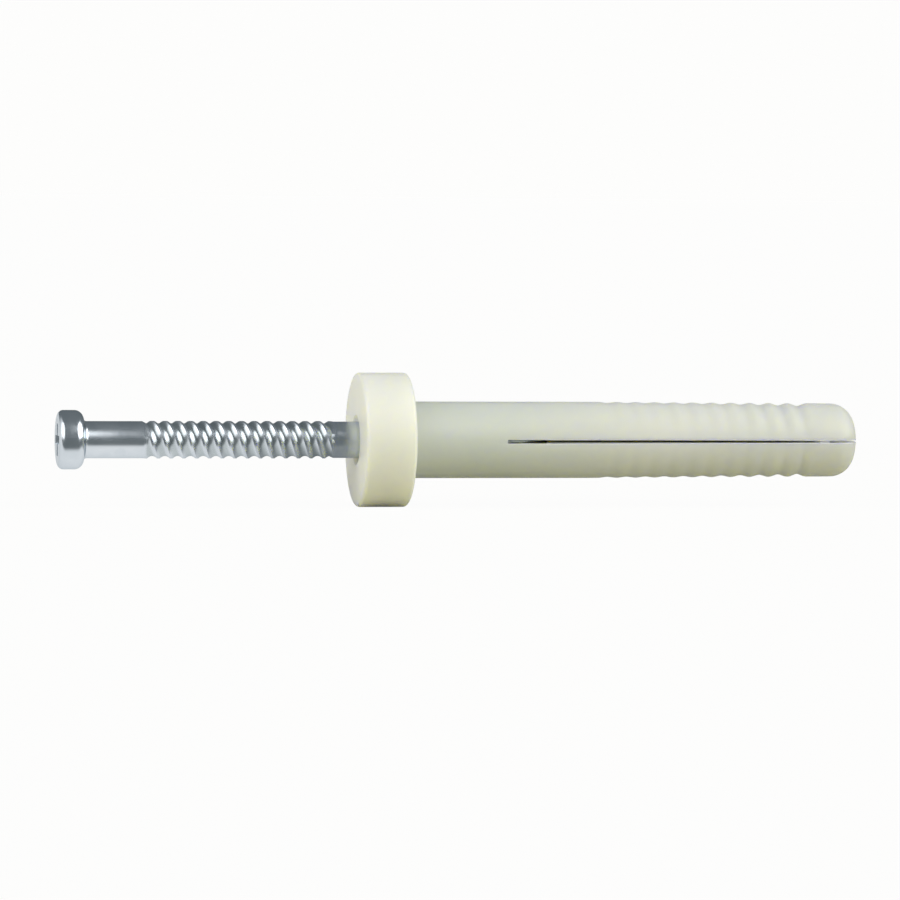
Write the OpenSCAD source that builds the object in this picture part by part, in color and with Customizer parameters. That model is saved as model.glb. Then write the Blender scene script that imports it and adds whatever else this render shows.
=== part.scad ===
// Hammer fixing: a ribbed nylon plug with its steel hammer screw set part way into it.
// The axis lies along X. The collar's bearing face is at X = 0 and the tip points to +X.
// The slot that splits the plug into two legs, one above the other, lies level in the plane Z = 0.

/* [Plug] */
// Diameter of the plain sleeve, which is also the size of the drilled hole
plug_d = 6; // [5:0.1:8]
// Length of the plug below the collar
plug_len = 36; // [34:0.5:60]
// Diameter of the expansion end where its rounded tip starts
tip_d = 5.8; // [4.6:0.02:8]
// Radius of the rounded tip
tip_round = 1.8; // [0.6:0.1:2]
// Distance from the collar to where the expansion end starts to taper
taper_start = 14.6; // [10:0.1:18]

/* [Collar] */
// Diameter of the collar
collar_d = 10.5; // [8.5:0.1:14]
// Thickness of the collar
collar_t = 4; // [1.5:0.1:6]
// Radius of the collar's rounded edges
collar_round = 0.25; // [0.05:0.05:0.6]
// Depth and width of the lead-in at the mouth of the bore
mouth_chamfer = 0.45; // [0.4:0.05:0.8]

/* [Ribs] */
// Number of notches between the ribs of each leg
rib_count = 11; // [3:1:11]
// Distance from the collar to the middle of the first notch
rib_start = 16.1; // [14:0.1:17]
// Distance from one notch to the next
rib_pitch = 1.54; // [1.3:0.02:1.6]
// Depth of the first notch at the crown of a leg
rib_first = 0.08; // [0.05:0.01:0.2]
// Depth of the last notch at the crown of a leg
rib_last = 0.24; // [0.05:0.01:0.3]
// Width of a notch along its floor
rib_floor = 0.28; // [0.1:0.02:0.4]
// Length of the flank on the collar side of a notch
rib_steep = 0.36; // [0.1:0.02:0.4]
// Length of the flank on the tip side of a notch
rib_gentle = 0.6; // [0.3:0.02:0.6]

/* [Slot] */
// Width of the slot between the legs
slot_w = 0.3; // [0.2:0.02:0.8]
// Distance from the collar to where the slot opens at the plug's surface
slot_start = 7.5; // [5:0.1:12]
// Length of the slanted end of the slot, from the surface in to the axis
slot_slant = 1.6; // [0.4:0.1:3]
// Length of the web that ties the legs together near the tip
web_len = 0.8; // [0.4:0.1:1.5]
// Thickness of that web, in from the plug's surface
web_t = 0.5; // [0.3:0.05:0.8]
// Distance from the web's far side to the end of the plug
web_from_end = 2.5; // [2:0.1:4]
// Diameter of the vent between the end of the bore and the end of the plug
vent_d = 0.9; // [0.6:0.1:1.4]

/* [Screw] */
// Diameter of the screw's head
head_d = 4.6; // [4.4:0.1:6]
// Thickness of the head
head_t = 2; // [1.6:0.1:3]
// Radius of the head's domed edge
head_round = 0.35; // [0.2:0.05:0.8]
// Radius of the edge on the underside of the head
head_under_round = 0.45; // [0.1:0.05:0.5]
// Radius of the fillet between the head and the neck
head_fillet = 0.25; // [0.1:0.05:0.3]
// Length of the screw below its head
shank_len = 36.6; // [34:0.1:60]
// Diameter of the plain neck below the head
neck_d = 2.88; // [2.6:0.02:2.9]
// Length of the plain neck
neck_len = 4.7; // [2:0.1:8]
// Diameter of the plain pilot below the thread
pilot_d = 2.84; // [2.5:0.02:2.9]
// Length of the cone at the screw's point
point_len = 2.2; // [1:0.1:3.5]
// Diameter of the blunt end of the point
point_d = 0.8; // [0.4:0.1:1.2]

/* [Thread] */
// Diameter over the crests of the thread
thread_d = 2.92; // [2.9:0.02:3.2]
// Diameter at the bottom of the thread
root_d = 2.54; // [2.2:0.02:2.6]
// Length of the thread
thread_len = 14.8; // [8:0.1:20]
// Distance from one crest to the next, along the axis
thread_pitch = 1; // [0.8:0.02:1.4]
// Width of a crest, along the axis
crest_w = 0.2; // [0.1:0.02:0.3]
// Width of the gap between threads at its bottom, along the axis
root_w = 0.32; // [0.1:0.02:0.4]
// Number of starts
thread_starts = 3; // [2:1:4]

/* [Cross recess] */
// Size of the recess across its wings
recess_d = 2.5; // [2:0.1:2.6]
// Size across the wings at the bottom of the recess
recess_floor_d = 1.1; // [0.8:0.1:1.4]
// Depth of the recess
recess_depth = 1.3; // [0.8:0.1:1.6]
// Width of a wing
wing_w = 0.66; // [0.4:0.02:0.8]

/* [Fit] */
// Length of shank that stands out of the collar before the screw is driven
standout = 21.4; // [5:0.1:25]
// Clearance between the thread's crests and the wall of the bore
bore_clear = 0.05; // [0.03:0.01:0.1]

/* [Hidden] */

// How far a cut reaches past the surface that it opens
over = 0.2;
// Turn between the slices of the thread, in degrees
thread_step = 15;
// How deep the screw's core lies under the bottom of the thread, and how far it runs into the neck and pilot
core_lap = 0.2;

plug_r = plug_d / 2;
tip_r = tip_d / 2;
tip_start = plug_len - tip_round;
collar_r = collar_d / 2;
head_r = head_d / 2;
neck_r = neck_d / 2;
pilot_r = pilot_d / 2;
point_r = point_d / 2;
bore_r = thread_d / 2 + bore_clear;
vent_r = vent_d / 2;

head_seat_x = -collar_t - standout;
thread_end = neck_len + thread_len;
point_start = shank_len - point_len;
thread_lead = thread_pitch * thread_starts;

// The bore ends in a seat that the driven screw's point fits with the same clearance.
driven_point_x = shank_len - collar_t;
bore_end_x = driven_point_x - point_len;

// Radius of the plug's surface at a distance x below the collar
function plug_r_at(x) =
    plug_r - (plug_r - tip_r) * max(0, x - taper_start) / (tip_start - taper_start);

// Depth of notch i at the crown of a leg: it grows faster near the tip
function notch_depth(i) =
    rib_first + (rib_last - rib_first) * pow(i / (rib_count - 1), 2);

// Turns a profile drawn with its radius along X and its length along Y about the plug's axis
module revolve() {
    rotate([0, 90, 0])
        rotate_extrude($fn = 96)
            children();
}

// Quarter of a disc, which rounds the outer end edge of a section
module edge_round(r) {
    intersection() {
        circle(r, $fn = 64);
        square(r);
    }
}

// Half section of a disc or drum of radius r from y = 0 to y = h, with rounded edges
module drum_section(r, h, low_round, high_round) {
    translate([0, low_round])
        square([r, h - low_round - high_round]);
    square([r - low_round, low_round]);
    translate([0, h - high_round])
        square([r - high_round, high_round]);
    translate([r - low_round, low_round])
        mirror([0, 1])
            edge_round(low_round);
    translate([r - high_round, h - high_round])
        edge_round(high_round);
}

// Half section of the collar, the plain sleeve and the tapered end with its rounded tip
module plug_section() {
    translate([0, -collar_t])
        drum_section(collar_r, collar_t, collar_round, collar_round);
    polygon([
        [0, -collar_t / 2], [plug_r, -collar_t / 2], [plug_r, taper_start],
        [tip_r, tip_start], [0, tip_start],
    ]);
    square([tip_r - tip_round, plug_len]);
    translate([tip_r - tip_round, tip_start])
        edge_round(tip_round);
}

// Half section of the bore: lead-in at the collar, straight guide, seat for the point, vent
module bore_section() {
    mouth_r = bore_r + mouth_chamfer;
    polygon([
        [0, -collar_t - over], [mouth_r + over, -collar_t - over],
        [bore_r, -collar_t + mouth_chamfer], [bore_r, bore_end_x],
        [point_r + bore_clear, driven_point_x], [vent_r, driven_point_x],
        [vent_r, plug_len + over], [0, plug_len + over],
    ]);
}

// The slot, with slanted ends near the collar and a web left at each side near the tip
module slot_cut() {
    reach = plug_r + over;
    web_y = plug_r_at(tip_start) - web_t;
    web_x = plug_len - web_from_end - web_len;
    linear_extrude(slot_w, center = true)
        difference() {
            polygon([
                [slot_start, -plug_r], [slot_start, -reach],
                [plug_len + over, -reach], [plug_len + over, reach],
                [slot_start, reach], [slot_start, plug_r], [slot_start + slot_slant, 0],
            ]);
            for (side = [-1, 1])
                translate([web_x + web_len / 2, side * (web_y + reach) / 2])
                    square([web_len, reach - web_y], center = true);
        }
}

// One notch: a ring cut of the plug's own radius, set off towards the other leg by the notch's
// depth, so that it is deepest at the crown of its leg and fades out at the slot.
module rib_notch(x, depth, side) {
    floor_r = plug_r_at(x);
    // The flanks run on a little past the plug's surface
    rise = 1.15;
    translate([0, 0, -side * depth])
        revolve()
            polygon([
                [floor_r, x - rib_floor / 2], [floor_r, x + rib_floor / 2],
                [floor_r + rise * depth, x + rib_floor / 2 + rise * rib_gentle],
                [floor_r + rise * depth, x - rib_floor / 2 - rise * rib_steep],
            ]);
}

module plug() {
    color("#dcddcb")
        difference() {
            revolve() plug_section();
            revolve() bore_section();
            slot_cut();
            for (i = [0 : rib_count - 1], side = [-1, 1])
                rib_notch(rib_start + i * rib_pitch, notch_depth(i), side);
        }
}

// Half section of the screw without its thread, from the head's underside at y = 0
module screw_section() {
    mirror([0, 1])
        drum_section(head_r, head_t, head_under_round, head_round);
    square([neck_r, neck_len]);
    translate([0, neck_len - core_lap])
        square([root_d / 2 - core_lap, thread_len + 2 * core_lap]);
    difference() {
        square([neck_r + head_fillet, head_fillet]);
        translate([neck_r + head_fillet, head_fillet])
            circle(head_fillet, $fn = 64);
    }
    polygon([
        [0, thread_end], [pilot_r, thread_end], [pilot_r, point_start],
        [point_r, shank_len], [0, shank_len],
    ]);
}

// Right-hand thread with several starts: its cross section turned along the axis
module thread() {
    crest_r = thread_d / 2;
    root_r = root_d / 2;
    start_turn = 360 / thread_starts;
    flank_w = (thread_pitch - crest_w - root_w) / 2;
    crest_from = root_w + flank_w;
    // Places along one crest spacing where the outline bends, each with its radius
    outline = [
        [0, root_r], [root_w / 2, root_r], [root_w, root_r],
        [crest_from, crest_r], [crest_from + crest_w / 2, crest_r], [crest_from + crest_w, crest_r],
    ];
    rotate([0, 90, 0])
        linear_extrude(
            height = thread_len,
            twist = -360 * thread_len / thread_lead,
            slices = ceil(360 * thread_len / thread_lead / thread_step)
        )
            polygon([
                for (start = [0 : thread_starts - 1], bend = outline)
                    let (turn = (start + bend[0] / thread_pitch) * start_turn)
                        bend[1] * [cos(turn), sin(turn)]
            ]);
}

// Cross recess with tapered wings, from the outer face of the head
module recess_cut() {
    slope = (recess_d - recess_floor_d) / 2 / recess_depth;
    reach = recess_depth + over;
    rotate([0, -90, 0])
        intersection() {
            cylinder(h = reach, r1 = recess_floor_d / 2, r2 = recess_d / 2 + slope * over, $fn = 48);
            translate([0, 0, reach / 2])
                union() {
                    cube([wing_w, recess_d + 2 * over, reach], center = true);
                    cube([recess_d + 2 * over, wing_w, reach], center = true);
                }
        }
}

module hammer_screw() {
    color("#aab3b8")
        translate([head_seat_x, 0, 0])
            difference() {
                union() {
                    revolve() screw_section();
                    translate([neck_len, 0, 0]) thread();
                }
                translate([recess_depth - head_t, 0, 0]) recess_cut();
            }
}

plug();
hammer_screw();
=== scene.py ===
"""A hammer fixing: a split, ribbed nylon plug and the zinc-plated hammer screw set part way into it."""
import math

import bmesh
import bpy
from mathutils import Matrix, Vector


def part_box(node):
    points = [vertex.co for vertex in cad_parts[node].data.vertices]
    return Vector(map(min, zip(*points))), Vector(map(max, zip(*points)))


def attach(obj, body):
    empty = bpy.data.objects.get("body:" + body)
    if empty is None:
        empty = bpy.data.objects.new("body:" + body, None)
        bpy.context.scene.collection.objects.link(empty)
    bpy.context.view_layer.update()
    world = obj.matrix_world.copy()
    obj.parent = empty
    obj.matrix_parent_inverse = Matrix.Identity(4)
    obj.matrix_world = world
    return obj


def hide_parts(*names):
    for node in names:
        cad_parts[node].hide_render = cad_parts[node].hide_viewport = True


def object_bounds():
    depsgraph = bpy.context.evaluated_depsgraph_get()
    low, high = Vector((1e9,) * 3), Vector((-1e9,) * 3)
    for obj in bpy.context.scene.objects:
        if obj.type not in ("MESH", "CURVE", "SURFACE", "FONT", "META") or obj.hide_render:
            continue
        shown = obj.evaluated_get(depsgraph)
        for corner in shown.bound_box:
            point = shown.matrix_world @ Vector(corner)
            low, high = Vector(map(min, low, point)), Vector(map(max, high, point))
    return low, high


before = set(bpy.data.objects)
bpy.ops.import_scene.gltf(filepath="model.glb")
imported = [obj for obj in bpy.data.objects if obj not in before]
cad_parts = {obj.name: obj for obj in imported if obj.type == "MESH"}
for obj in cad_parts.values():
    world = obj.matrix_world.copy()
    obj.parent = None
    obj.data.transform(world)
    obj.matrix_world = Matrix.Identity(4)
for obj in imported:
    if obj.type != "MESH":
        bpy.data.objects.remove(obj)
cad_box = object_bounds()


# The plug is one injection moulding in natural nylon: a thick collar, a plain sleeve and a ribbed end.
# A slot splits the ribbed end into two legs, and a thin web ties them together near the tip.
# Its outline is drawn once and spun about the axis, and the notches are then pressed into each leg.
MM = 0.001
plug_low, plug_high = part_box("plug")
collar_x = plug_low.x
collar_r = plug_high.z
tip_x = plug_high.x
collar_round = 0.3 * MM
neck_fillet = 0.14 * MM
sleeve_r = 3.0 * MM
bore_r = 1.51 * MM
mouth_chamfer = 0.45 * MM
taper_start = 14.6 * MM
tip_r = 2.9 * MM
tip_round = 1.8 * MM
vent_r = 0.45 * MM
bore_end = 30.4 * MM
seat_end = 32.6 * MM
around_plug = 96


def arc(middle, radius, first, last, steps):
    """Points on an arc in the section plane, as (place along the axis, radius) pairs; angles in degrees."""
    turns = [math.radians(first + (last - first) * i / steps) for i in range(steps + 1)]
    return [(middle[0] + radius * math.cos(t), middle[1] + radius * math.sin(t)) for t in turns]


def draw_section(name, section):
    """Starts a piece with one chain of edges through the section's points, left selected in edit mode."""
    places = [Vector((along, 0, radius)) for along, radius in section]
    bpy.ops.object.select_all(action="DESELECT")
    bpy.ops.mesh.primitive_plane_add(size=MM, location=places[0])
    bpy.ops.object.transform_apply(location=True)
    piece = bpy.context.object
    piece.name = name
    piece.data.name = name
    bpy.ops.object.mode_set(mode="EDIT")
    bpy.ops.mesh.select_mode(type="VERT")
    bpy.ops.mesh.select_all(action="SELECT")
    bpy.ops.mesh.merge(type="CENTER")
    for before, after in zip(places, places[1:]):
        bpy.ops.mesh.extrude_vertices_move(TRANSFORM_OT_translate={"value": after - before})
    bpy.ops.mesh.select_all(action="SELECT")
    return piece


weld = 0.0005 * MM


def spin_section(steps):
    """Spins the drawn section once round the X axis and closes the seam."""
    bpy.ops.mesh.spin(steps=steps, angle=2 * math.pi, center=(0, 0, 0), axis=(1, 0, 0))
    bpy.ops.mesh.select_all(action="SELECT")
    bpy.ops.mesh.remove_doubles(threshold=weld)
    bpy.ops.mesh.normals_make_consistent(inside=False)


def pick(piece, kind, wanted):
    """Selects, in edit mode, just those verts, edges or faces that the test accepts."""
    bpy.ops.mesh.select_mode(type={"verts": "VERT", "edges": "EDGE", "faces": "FACE"}[kind])
    bpy.ops.mesh.select_all(action="DESELECT")
    mesh = bmesh.from_edit_mesh(piece.data)
    for part in getattr(mesh, kind):
        if wanted(part):
            part.select_set(True)
    mesh.select_flush_mode()
    bmesh.update_edit_mesh(piece.data)


notches = 11
first_notch = 16.1 * MM
notch_pitch = 1.54 * MM
shallow_notch = 0.08 * MM
deep_notch = 0.22 * MM
rings_per_pitch = 10
ribs_from = first_notch - notch_pitch / 2
ring_step = notch_pitch / rings_per_pitch
skin_from = bore_r + MM
crown_from = 0.05 * MM


def sleeve_radius(along):
    """Radius of the sleeve, which tapers gently from the middle of the plug to its tip."""
    share = max(0, along - taper_start) / (tip_x - tip_round - taper_start)
    return sleeve_r + (tip_r - sleeve_r) * share


ring_places = [ribs_from + ring_step * i for i in range(rings_per_pitch * notches + 1)]
section = [(bore_end, bore_r), (collar_x + mouth_chamfer, bore_r)]
section += [(collar_x, bore_r + mouth_chamfer)]
section += arc((collar_x + collar_round, collar_r - collar_round), collar_round, 180, 90, 5)
section += arc((-collar_round, collar_r - collar_round), collar_round, 90, 0, 5)
section += arc((neck_fillet, sleeve_r + neck_fillet), neck_fillet, 180, 270, 4)
section += [(taper_start, sleeve_r)]
section += [(along, sleeve_radius(along)) for along in ring_places]
section += arc((tip_x - tip_round, tip_r - tip_round), tip_round, 90, 0, 12)
section += [(tip_x, vent_r), (seat_end, vent_r), (bore_end, bore_r)]
plug = draw_section("nylon_plug", section)
spin_section(around_plug)

# Each notch is deepest at the crown of its leg and fades out at the slot.
for notch in range(notches):
    notch_x = first_notch + notch_pitch * notch
    depth = shallow_notch + (deep_notch - shallow_notch) * (notch / (notches - 1)) ** 2
    for side in (1, -1):
        pick(plug, "verts", lambda v: abs(v.co.x - notch_x) < ring_step / 3
             and v.co.z * side > crown_from and math.hypot(v.co.y, v.co.z) > skin_from)
        bpy.ops.transform.translate(
            value=(0, 0, -side * depth), use_proportional_edit=True,
            proportional_edit_falloff="SMOOTH", proportional_size=notch_pitch / 2)
bpy.ops.object.mode_set(mode="OBJECT")

slot_width = 0.3 * MM
slot_start = 7.5 * MM
slot_slant = 0.5 * MM
slot_pinch = 0.45
slot_reach = 3.2 * MM
web_length = 0.8 * MM
web_thickness = 0.5 * MM
web_setback = 0.2 * MM
web_from_end = 2.5 * MM
web_x = tip_x - web_from_end - web_length / 2


def add_block(name, low, high):
    """A block between two corners, with its place in its mesh, left active and selected."""
    bpy.ops.object.select_all(action="DESELECT")
    bpy.ops.mesh.primitive_cube_add(size=1, location=(Vector(low) + Vector(high)) / 2)
    block = bpy.context.object
    block.name = name
    block.scale = Vector(high) - Vector(low)
    bpy.ops.object.transform_apply(location=True, scale=True)
    return block


def cut_away(piece, cutter, operation="DIFFERENCE"):
    """Cuts one mesh with another, applies the cut and deletes the cutter."""
    bpy.ops.object.select_all(action="DESELECT")
    bpy.context.view_layer.objects.active = piece
    piece.select_set(True)
    cut = piece.modifiers.new("cut", "BOOLEAN")
    cut.operation = operation
    cut.solver = "EXACT"
    cut.object = cutter
    bpy.ops.object.modifier_apply(modifier=cut.name)
    bpy.data.objects.remove(cutter)


slot_blade = add_block("slot_blade", (slot_start, -slot_reach, -slot_width / 2),
                       (tip_x + MM, slot_reach, slot_width / 2))
bpy.ops.object.mode_set(mode="EDIT")
bpy.ops.mesh.select_all(action="SELECT")
bpy.ops.mesh.bisect(plane_co=(0, 0, 0), plane_no=(0, 1, 0))
pick(slot_blade, "verts", lambda v: abs(v.co.y) < slot_width and v.co.x < slot_start + slot_width)
bpy.ops.transform.translate(value=(slot_slant, 0, 0))
pick(slot_blade, "verts", lambda v: v.co.x > tip_x)
bpy.ops.transform.resize(value=(1, 1, slot_pinch), center_override=(0, 0, 0))
bpy.ops.object.mode_set(mode="OBJECT")
for side in (1, -1):
    near, far = sorted((side * (tip_r - web_thickness), side * (tip_r - web_setback)))
    web_gap = add_block("web_gap", (web_x - web_length / 2, near, -slot_width),
                        (web_x + web_length / 2, far, slot_width))
    cut_away(slot_blade, web_gap)
cut_away(plug, slot_blade)

plug_crease = math.radians(25)
bpy.ops.object.mode_set(mode="EDIT")
bpy.ops.mesh.select_all(action="SELECT")
bpy.ops.mesh.remove_doubles(threshold=weld)
bpy.ops.object.mode_set(mode="OBJECT")
bpy.ops.object.shade_smooth_by_angle(angle=plug_crease)


class Socket:
    """A socket of a material's nodes. Maths written on it adds Math nodes."""

    def __init__(self, tree, socket=None):
        self.tree = tree
        self.socket = socket

    def node(self, kind, settings, inputs, output=0):
        """Adds a node, sets it up, fills or links its sockets, and gives one of its outputs."""
        made = self.tree.nodes.new(kind)
        for name, value in settings.items():
            setattr(made, name, value)
        for name, value in inputs.items():
            if isinstance(value, Socket):
                self.tree.links.new(value.socket, made.inputs[name])
            else:
                made.inputs[name].default_value = value
        return Socket(self.tree, made.outputs[output] if made.outputs else None)

    def math(self, operation, first, second):
        return self.node("ShaderNodeMath", {"operation": operation}, {0: first, 1: second})

    def __add__(self, other):
        return self.math("ADD", self, other)

    def __sub__(self, other):
        return self.math("SUBTRACT", self, other)

    def __mul__(self, other):
        return self.math("MULTIPLY", self, other)

    __radd__ = __add__
    __rmul__ = __mul__

    def __rsub__(self, other):
        return self.math("SUBTRACT", other, self)

    def within(self, low, high):
        """0 below low, 1 above high and a smooth rise between them."""
        return self.node("ShaderNodeMapRange", {"interpolation_type": "SMOOTHSTEP"},
                         {"Value": self, "From Min": low, "From Max": high})

    def mixed(self, first, second):
        """The first colour where this value is 0, the second where it is 1."""
        return self.node("ShaderNodeMix", {"data_type": "RGBA"},
                         {"Factor": self, 6: first, 7: second}, output=2)

    def tinted(self, tint):
        """This colour times another."""
        return self.node("ShaderNodeMix", {"data_type": "RGBA", "blend_type": "MULTIPLY"},
                         {"Factor": 1.0, 6: self, 7: tint}, output=2)

    def place(self, axis):
        """Place along one axis of the fixing, in metres from the middle of the collar's bearing face."""
        place = self.node("ShaderNodeTexCoord", {}, {}, output="Object")
        return self.node("ShaderNodeSeparateXYZ", {}, {"Vector": place}, output=axis)

    def noise(self, scale, detail, stretch=(1, 1, 1)):
        """Fine cloudy variation over the piece, in its own coordinates; scale is in marks per metre."""
        place = self.node("ShaderNodeTexCoord", {}, {}, output="Object")
        turned = self.node("ShaderNodeMapping", {}, {"Vector": place, "Scale": stretch})
        return self.node("ShaderNodeTexNoise", {}, {"Vector": turned, "Scale": scale, "Detail": detail})


def new_finish(name):
    """An empty node material."""
    finish = bpy.data.materials.new(name)
    finish.use_nodes = True
    finish.node_tree.nodes.clear()
    return finish, Socket(finish.node_tree)


def dress(piece, finish):
    """Gives a piece one finish."""
    piece.data.materials.clear()
    piece.data.materials.append(finish)


# Natural nylon: milky and satin from the mould. Its colour is painted lighter and a little yellower on the
# thick collar and darker on the thin sleeve: painted light and shade standing in for light scattering
# through thick and thin nylon. The sleeve is also darker towards the collar.
nylon, nodes = new_finish("natural_nylon")
cloud = nodes.noise(260, 3, stretch=(0.5, 1, 1)).within(0.3, 0.7)
grain = nodes.noise(2600, 4)
along = nodes.place("X")
height = nodes.place("Z")
# Painted light: the thick collar is painted lighter than the thin sleeve.
painted_collar_light = 1 - along.within(-0.5 * MM, 0.6 * MM)
legs = along.within(5 * MM, 20 * MM)
tube = legs.mixed((0.62, 0.65, 0.6, 1), (0.7, 0.71, 0.66, 1))
skin_tone_painted_light = painted_collar_light.mixed(tube, (0.83, 0.83, 0.77, 1))
from_middle = height.math("ABSOLUTE", height, 0)
near_slot = 1 - from_middle.within(slot_width / 2 + 0.003 * MM, slot_width / 2 + 0.015 * MM)
# Painted light: the slot's walls are painted near white, standing in for light glowing through the nylon
# into the slot.
slot_wall = near_slot * along.within(slot_start, slot_start + slot_width)
tone = slot_wall.mixed(skin_tone_painted_light, (0.95, 0.95, 0.89, 1))
milky = cloud.mixed(tone, tone.tinted((1.04, 1.03, 1.02, 1)))
texture = grain * (1 - slot_wall)
skin = nodes.node("ShaderNodeBump", {}, {
    "Strength": 0.12, "Distance": 0.02 * MM, "Height": texture}, "Normal")
nylon_shader = nodes.node("ShaderNodeBsdfPrincipled", {"subsurface_method": "RANDOM_WALK"}, {
    "Base Color": milky,
    "Roughness": texture * 0.16 + (1 - slot_wall) * 0.28 + 0.06,
    "Subsurface Weight": 1.0,
    "Subsurface Radius": (1.0, 0.95, 0.4),
    "Subsurface Scale": 1.6 * MM,
    "IOR": 1.5,
    "Normal": skin,
})
nodes.node("ShaderNodeOutputMaterial", {}, {"Surface": nylon_shader})
dress(plug, nylon)
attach(plug, "plug")
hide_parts("plug")


# The screw is one length of steel wire: its head is struck cold, its thread is rolled with three starts.
# It is zinc plated and passivated, so it is bright with a cold tint; the thread's grooves are painted
# darker, as painted shade.
# The head, the threaded length and the pilot are shaped apart and bridged into one skin.
screw_low, screw_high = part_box("hammer_screw")
around_screw = 72
head_r = 2.3 * MM
head_length = 2.0 * MM
head_x = screw_low.x
seat_x = head_x + head_length
crown_round = 0.45 * MM
under_round = 0.7 * MM
seat_fillet = 0.25 * MM
neck_r = 1.44 * MM
neck_end = seat_x + 4.6 * MM
thread_from = seat_x + 4.9 * MM
thread_to = seat_x + 19.3 * MM
pilot_from = seat_x + 19.6 * MM
pilot_r = 1.42 * MM
point_x = screw_high.x
point_length = 2.2 * MM
point_r = 0.4 * MM
point_round = 0.12 * MM
point_blend = pilot_r / 8
point_drop = pilot_r / 18
shading_ring = 0.12 * MM
ring_margin = 0.01 * MM
screw_crease = math.radians(40)

head_section = [(head_x, 0), (head_x, (head_r - crown_round) / 2)]
head_section += arc((head_x + crown_round, head_r - crown_round), crown_round, 180, 90, 10)
head_section += arc((seat_x - under_round, head_r - under_round), under_round, 90, 0, 10)
head_section += arc((seat_x + seat_fillet, neck_r + seat_fillet), seat_fillet, 180, 270, 5)
head_section += [(neck_end - shading_ring, neck_r), (neck_end, neck_r)]
screw = draw_section("hammer_screw_zinc", head_section)
spin_section(around_screw)
bpy.ops.object.mode_set(mode="OBJECT")

pilot_section = [(pilot_from, pilot_r), (pilot_from + shading_ring, pilot_r)]
pilot_section += [(point_x - point_length - point_blend, pilot_r)]
pilot_section += [(point_x - point_length + point_blend, pilot_r - point_drop)]
pilot_section += arc((point_x - point_round, point_r - point_round), point_round, 60, 0, 3)
pilot_section += [(point_x, 0)]
pilot = draw_section("pilot", pilot_section)
spin_section(around_screw)
bpy.ops.object.mode_set(mode="OBJECT")

# The thread is a ring with three soft crests, drawn out along the axis and twisted to the right.
thread_starts = 3
crest_r = 1.46 * MM
root_r = 1.27 * MM
thread_lead = 3.0 * MM
steps_per_start = around_screw // thread_starts
crest_share = 0.17
thread_spans = 10
rings_per_span = 30


def thread_height(share):
    """Height of the thread, 1 on a crest and 0 in the groove, at a share of the way to the next crest."""
    from_crest = max(0, min(share, 1 - share) - crest_share / 2)
    return (1 - from_crest / (0.5 - crest_share / 2)) ** 2


bpy.ops.object.select_all(action="DESELECT")
bpy.ops.mesh.primitive_circle_add(vertices=around_screw, radius=root_r, rotation=(0, math.pi / 2, 0),
                                  location=(thread_from, 0, 0))
bpy.ops.object.transform_apply(location=True, rotation=True)
thread = bpy.context.object
bpy.ops.object.mode_set(mode="EDIT")
for step in range(steps_per_start):
    pick(thread, "verts", lambda v: round(
        math.atan2(v.co.y, v.co.z) / (2 * math.pi) * around_screw) % steps_per_start == step)
    widen = 1 + thread_height(step / steps_per_start) * (crest_r / root_r - 1)
    bpy.ops.transform.resize(value=(1, widen, widen), center_override=(thread_from, 0, 0))
bpy.ops.mesh.select_all(action="SELECT")
bpy.ops.mesh.extrude_region_move(TRANSFORM_OT_translate={"value": (thread_to - thread_from, 0, 0)})
for parts in (thread_spans, rings_per_span):
    pick(thread, "edges", lambda e: abs(e.verts[0].co.x - e.verts[1].co.x) > MM)
    bpy.ops.mesh.subdivide(number_cuts=parts - 1)
bpy.ops.object.mode_set(mode="OBJECT")
twist = thread.modifiers.new("twist", "SIMPLE_DEFORM")
twist.deform_method = "TWIST"
twist.deform_axis = "X"
twist.angle = 2 * math.pi * (thread_to - thread_from) / thread_lead
bpy.ops.object.modifier_apply(modifier=twist.name)

bpy.ops.object.select_all(action="DESELECT")
for part in (thread, pilot, screw):
    part.select_set(True)
bpy.context.view_layer.objects.active = screw
bpy.ops.object.join()
bpy.ops.object.mode_set(mode="EDIT")
for from_x, to_x in ((neck_end, thread_from), (thread_to, pilot_from)):
    pick(screw, "edges", lambda e: len(e.link_faces) == 1
         and all(from_x - ring_margin < v.co.x < to_x + ring_margin for v in e.verts))
    bpy.ops.mesh.bridge_edge_loops()
bpy.ops.mesh.select_all(action="SELECT")
bpy.ops.mesh.normals_make_consistent(inside=False)
bpy.ops.object.mode_set(mode="OBJECT")

# The cross recess narrows towards its floor.
recess_depth = 1.3 * MM
wing_reach = 1.3 * MM
wing_width = 0.66 * MM
reach_taper = 0.45
width_taper = 0.8
recess_lead = 0.1 * MM
lying_wing = (wing_reach, wing_width / 2), (reach_taper, width_taper)
standing_wing = (wing_width / 2, wing_reach), (width_taper, reach_taper)
for (half_y, half_z), floor_share in (lying_wing, standing_wing):
    wing = add_block("wing", (head_x - recess_lead, -half_y, -half_z),
                     (head_x + recess_depth, half_y, half_z))
    bpy.ops.object.mode_set(mode="EDIT")
    pick(wing, "faces", lambda f: f.normal.x > 0.9)
    bpy.ops.transform.resize(value=(1, *floor_share))
    bpy.ops.object.mode_set(mode="OBJECT")
    cut_away(screw, wing)
bpy.ops.object.shade_smooth_by_angle(angle=screw_crease)

# Bright zinc: cold silver with faint drawn streaks and a little cloudiness from the passivation.
zinc, nodes = new_finish("zinc_plating")
streaks = nodes.noise(1800, 3, stretch=(0.12, 1, 1))
clouds = nodes.noise(500, 3).within(0.35, 0.7)
grain = nodes.noise(6000, 2)
across = nodes.node("ShaderNodeMapping", {}, {
    "Vector": nodes.node("ShaderNodeTexCoord", {}, {}, output="Object"), "Scale": (0, 1, 1)})
from_axis = nodes.node("ShaderNodeVectorMath", {"operation": "LENGTH"}, {0: across}, output="Value")
along = nodes.place("X")
threaded = along.within(neck_end, thread_from) * (1 - along.within(thread_to, pilot_from))
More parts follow.
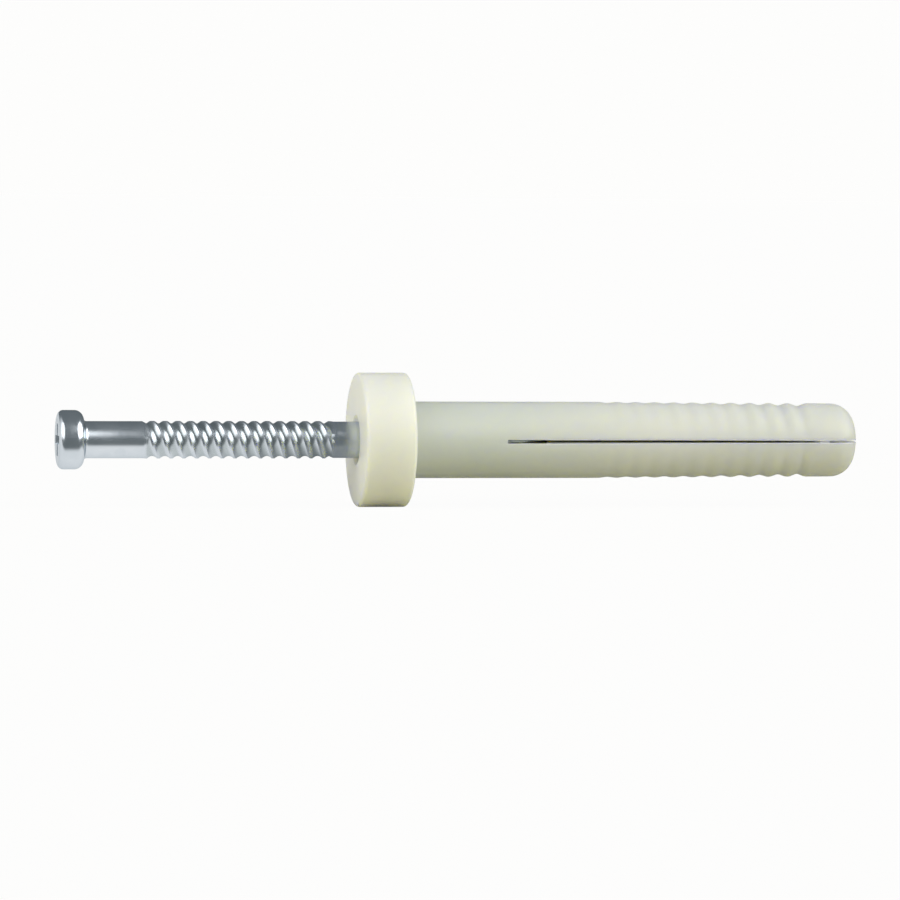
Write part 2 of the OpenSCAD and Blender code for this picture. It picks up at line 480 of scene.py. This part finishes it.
# Painted shade: the thread's grooves are painted darker than the crests.
groove = (1 - from_axis.within(root_r + 0.01 * MM, crest_r - 0.04 * MM)) * threaded
skin = nodes.node("ShaderNodeBump", {}, {
    "Strength": 0.1, "Distance": 0.01 * MM, "Height": streaks + grain}, "Normal")
plating = clouds.mixed((0.62, 0.67, 0.715, 1), (0.69, 0.735, 0.775, 1))
# The dim Specular Tint darkens the reflection at the grazing edges: painted shade standing in for a dark
# room there.
zinc_shader = nodes.node("ShaderNodeBsdfPrincipled", {}, {
    "Base Color": groove.mixed(plating, plating.tinted((0.75, 0.77, 0.75, 1))),
    "Metallic": 1.0,
    "Roughness": streaks * 0.12 + clouds * 0.06 + threaded * 0.07 + 0.13,
    "Specular Tint": (0.72, 0.75, 0.77, 1),
    "Normal": skin,
})
nodes.node("ShaderNodeOutputMaterial", {}, {"Surface": zinc_shader})
dress(screw, zinc)
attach(screw, "screw")
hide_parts("hammer_screw")


# The fixing lies on a plain white sheet that turns up at its edges, with the screw's end a little nearer.
# Two broad soft lamps stand in front of it, one to each side of the camera; the room round them is dim.
floor_side = 12.0
upturn = 0.9
background_share = 0.96
collar_shade = 0.85
bpy.ops.object.select_all(action="DESELECT")
bpy.ops.mesh.primitive_plane_add(size=floor_side, location=(0, 0, cad_box[0][2]))
floor = bpy.context.object
floor.name = "white_sheet"
bpy.ops.object.mode_set(mode="EDIT")
pick(floor, "edges", lambda e: True)
bpy.ops.mesh.extrude_edges_move(TRANSFORM_OT_translate={"value": (0, 0, upturn)})
bpy.ops.object.mode_set(mode="OBJECT")
paper, nodes = new_finish("white_paper")
fibres = nodes.noise(900, 4)
matt = nodes.node("ShaderNodeBsdfDiffuse", {}, {
    "Color": fibres.mixed((0.62, 0.6, 0.44, 1), (0.66, 0.64, 0.48, 1)),
})
# The sheet looks white, and the screw mirrors it so, but for the part in front and by the collar, which the
# screw's mirror shows dark: painted shade.
seen = nodes.node("ShaderNodeLightPath", {}, {}, "Is Camera Ray")
through = nodes.node("ShaderNodeLightPath", {}, {}, "Is Transmission Ray")
mirrored = nodes.node("ShaderNodeLightPath", {}, {}, "Is Glossy Ray")
by_the_collar = nodes.place("X").within(-15 * MM, -5 * MM)
lit_part = nodes.place("Y").within(-11 * MM, -6 * MM) * (1 - by_the_collar * collar_shade)
direct = seen.math("MAXIMUM", seen, through)
white = direct.math("MAXIMUM", direct, lit_part).mixed((0.17, 0.19, 0.2, 1), (1, 1, 1, 1))
bright = direct.math("MAXIMUM", direct, mirrored)
blank = nodes.node("ShaderNodeEmission", {}, {"Color": white, "Strength": 1.0})
sheet = nodes.node("ShaderNodeMixShader", {}, {0: bright * background_share, 1: matt, 2: blank})
nodes.node("ShaderNodeOutputMaterial", {}, {"Surface": sheet})
dress(floor, paper)

# Each lamp has its turn from straight ahead, in degrees, and its strength.
lamp_height = math.radians(26)
lamp_breadth = math.radians(68)
for name, turn, energy in (("left_lamp", -60, 1.35), ("right_lamp", 58, 2.55)):
    turn = math.radians(turn)
    towards_lamp = Vector((math.sin(turn) * math.cos(lamp_height),
                           -math.cos(turn) * math.cos(lamp_height), math.sin(lamp_height)))
    lamp = bpy.data.lights.new(name, "SUN")
    lamp.energy = energy
    lamp.angle = lamp_breadth
    lamp_stand = bpy.data.objects.new(name, lamp)
    lamp_stand.matrix_world = towards_lamp.to_track_quat("Z", "Y").to_matrix().to_4x4()
    bpy.context.scene.collection.objects.link(lamp_stand)

room = bpy.data.worlds.new("studio")
room.use_nodes = True
room.node_tree.nodes.clear()
bpy.context.scene.world = room
nodes = Socket(room.node_tree)
direction = nodes.node("ShaderNodeTexCoord", {}, {}, output="Generated")
leftward = 0 - nodes.node("ShaderNodeSeparateXYZ", {}, {"Vector": direction}, output="X")
upward = nodes.node("ShaderNodeSeparateXYZ", {}, {"Vector": direction}, output="Z")
window = leftward.within(0.5, 0.9) * upward.within(-0.1, 0.2)
glow = window.mixed((0.19, 0.21, 0.22, 1), (1.2, 1.2, 1.2, 1))
sky = nodes.node("ShaderNodeBackground", {}, {"Color": glow, "Strength": 1.0})
nodes.node("ShaderNodeOutputWorld", {}, {"Surface": sky})

# The camera faces the open side of the slot, from a little above and a little from the screw's end.
camera_left = math.radians(10.84)
camera_up = math.radians(3.0)
camera_distance = 0.407
frame_width = 70.55 * MM
aim_at = Vector((3.5 * MM, 0, -0.8 * MM))
back = Vector((-math.sin(camera_left) * math.cos(camera_up),
               -math.cos(camera_left) * math.cos(camera_up), math.sin(camera_up)))
right = (Vector((1, 0, 0)) - back * back.x).normalized()
lens = bpy.data.cameras.new("camera")
lens.sensor_width = 36
lens.lens = lens.sensor_width * camera_distance / frame_width
lens.clip_start = 0.01
camera = bpy.data.objects.new("camera", lens)
camera.matrix_world = Matrix.Translation(aim_at + back * camera_distance) @ Matrix(
    (right, back.cross(right), back)).transposed().to_4x4()
bpy.context.scene.collection.objects.link(camera)
bpy.context.scene.camera = camera
bpy.context.scene.view_settings.view_transform = "Standard"
